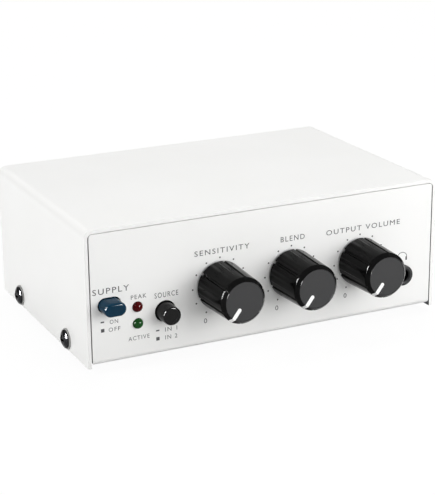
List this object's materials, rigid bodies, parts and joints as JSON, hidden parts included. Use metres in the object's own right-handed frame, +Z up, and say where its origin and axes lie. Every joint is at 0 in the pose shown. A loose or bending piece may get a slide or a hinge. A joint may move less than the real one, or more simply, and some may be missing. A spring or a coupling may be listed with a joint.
{
  "type": "phono preamp",
  "caption": "Small desktop phono preamp: white folded steel case, black rotary knobs, push buttons, lamps and headphone socket in front, cable sockets behind.",
  "frame": {"origin": "middle of the whole part's footprint, on the surface the feet stand on", "axes": "+X to the right seen from the front, +Y to the rear, +Z up"},
  "size_m": [0.1124, 0.0984, 0.0407],
  "materials": {
    "white_enamel": "smooth white baked enamel, satin",
    "screw_plating": "bright black-nickel plating",
    "screw_washer": "light grey nylon",
    "foot_rubber": "matt black moulded rubber",
    "zinc_plate": "bright zinc plate",
    "board_laminate": "green solder mask on glass-epoxy laminate",
    "board_parts": "matt black moulded packages",
    "capacitor_sleeve": "dark shrink sleeve",
    "crystal_can": "drawn tinned can",
    "pot_metal": "drawn steel can",
    "wafer_laminate": "brown phenolic laminate",
    "shaft_metal": "turned and milled",
    "knob_black": "moulded, glossy sides and satin face",
    "pointer_white": "white inlay",
    "power_blue": "dark petrol-blue moulding, glossy",
    "selector_black": "black moulding, glossy",
    "switch_body": "black moulding",
    "holder_black": "black moulding",
    "lens_green": "tinted epoxy, unlit",
    "lens_red": "tinted epoxy, unlit",
    "socket_black": "black moulding",
    "contact_metal": "bright nickel plate",
    "insert_red": "red moulding",
    "insert_white": "white moulding",
    "insert_black": "black moulding",
    "brass_gilt": "turned and gilt"
  },
  "bodies": {
    "chassis": {"chassis_tray": "white_enamel", "top_cover": "white_enamel", "cover_screws": "screw_plating", "cover_washers": "screw_washer", "rubber_feet": "foot_rubber", "board_standoffs": "zinc_plate", "circuit_board": "board_laminate", "board_screws": "zinc_plate", "pot_wafers": "wafer_laminate", "pot_washers": "zinc_plate", "pot_nuts": "zinc_plate", "power_switch": "switch_body", "selector_switch": "switch_body", "lamp_holder": "holder_black", "signal_lamp": "lens_green", "peak_lamp": "lens_red", "lamp_leads": "zinc_plate", "headphone_socket": "socket_black", "phono_block": "switch_body", "output_block": "switch_body", "rca_shells": "contact_metal", "rca_insulators_right": "insert_red", "rca_insulators_left": "insert_white", "rca_contacts": "contact_metal", "usb_shell": "contact_metal", "usb_insert": "insert_black", "power_inlet": "insert_black", "power_inlet_pin": "contact_metal", "earth_post": "brass_gilt", "earth_lock_nut": "brass_gilt", "capacitors": "capacitor_sleeve", "amplifier_chips": "board_parts", "converter_chip": "board_parts", "crystal": "crystal_can", "pot_case_input": "pot_metal", "pot_case_mix": "pot_metal", "pot_case_output": "pot_metal"},
    "input_knob": {"knob_input": "knob_black", "pointer_input": "pointer_white", "pot_shaft_input": "shaft_metal"},
    "mix_knob": {"knob_mix": "knob_black", "pointer_mix": "pointer_white", "pot_shaft_mix": "shaft_metal"},
    "output_knob": {"knob_output": "knob_black", "pointer_output": "pointer_white", "pot_shaft_output": "shaft_metal"},
    "power_push": {"power_button": "power_blue", "power_plunger": "switch_body"},
    "selector_push": {"selector_button": "selector_black", "selector_plunger": "switch_body"},
    "post_washer": {"earth_washer": "brass_gilt"},
    "post_thumb_nut": {"earth_thumb_nut": "brass_gilt"}
  },
  "joints": [
    {"name": "input_knob_turn", "type": "hinge", "parent": "chassis", "child": "input_knob", "pos_m": [-0.0152, -0.03365, 0.0196], "axis": [0, 1, 0], "range_deg": [-7, 293]},
    {"name": "mix_knob_turn", "type": "hinge", "parent": "chassis", "child": "mix_knob", "pos_m": [0.007, -0.03365, 0.0196], "axis": [0, 1, 0], "range_deg": [-7, 293]},
    {"name": "output_knob_turn", "type": "hinge", "parent": "chassis", "child": "output_knob", "pos_m": [0.0292, -0.03365, 0.0196], "axis": [0, 1, 0], "range_deg": [-7, 293]},
    {"name": "power_push", "type": "slide", "parent": "chassis", "child": "power_push", "axis": [0, 1, 0], "range_m": [0, 0.0022], "stiffness_N_per_m": 500, "springref_m": -0.001},
    {"name": "selector_push", "type": "slide", "parent": "chassis", "child": "selector_push", "axis": [0, 1, 0], "range_m": [0, 0.0022], "stiffness_N_per_m": 500, "springref_m": -0.001},
    {"name": "thumb_nut_travel", "type": "slide", "parent": "chassis", "child": "post_washer", "axis": [0, 1, 0], "range_m": [0, 0.0021]},
    {"name": "thumb_nut_turn", "type": "hinge", "parent": "post_washer", "child": "post_thumb_nut", "pos_m": [0.0405, 0.04135, 0.0229], "axis": [0, 1, 0], "range_deg": [0, 1080]}
  ],
  "couplings": [
    {"joint": "thumb_nut_turn", "follows": "thumb_nut_travel", "rad_per_m": 8975.9}
  ]
}
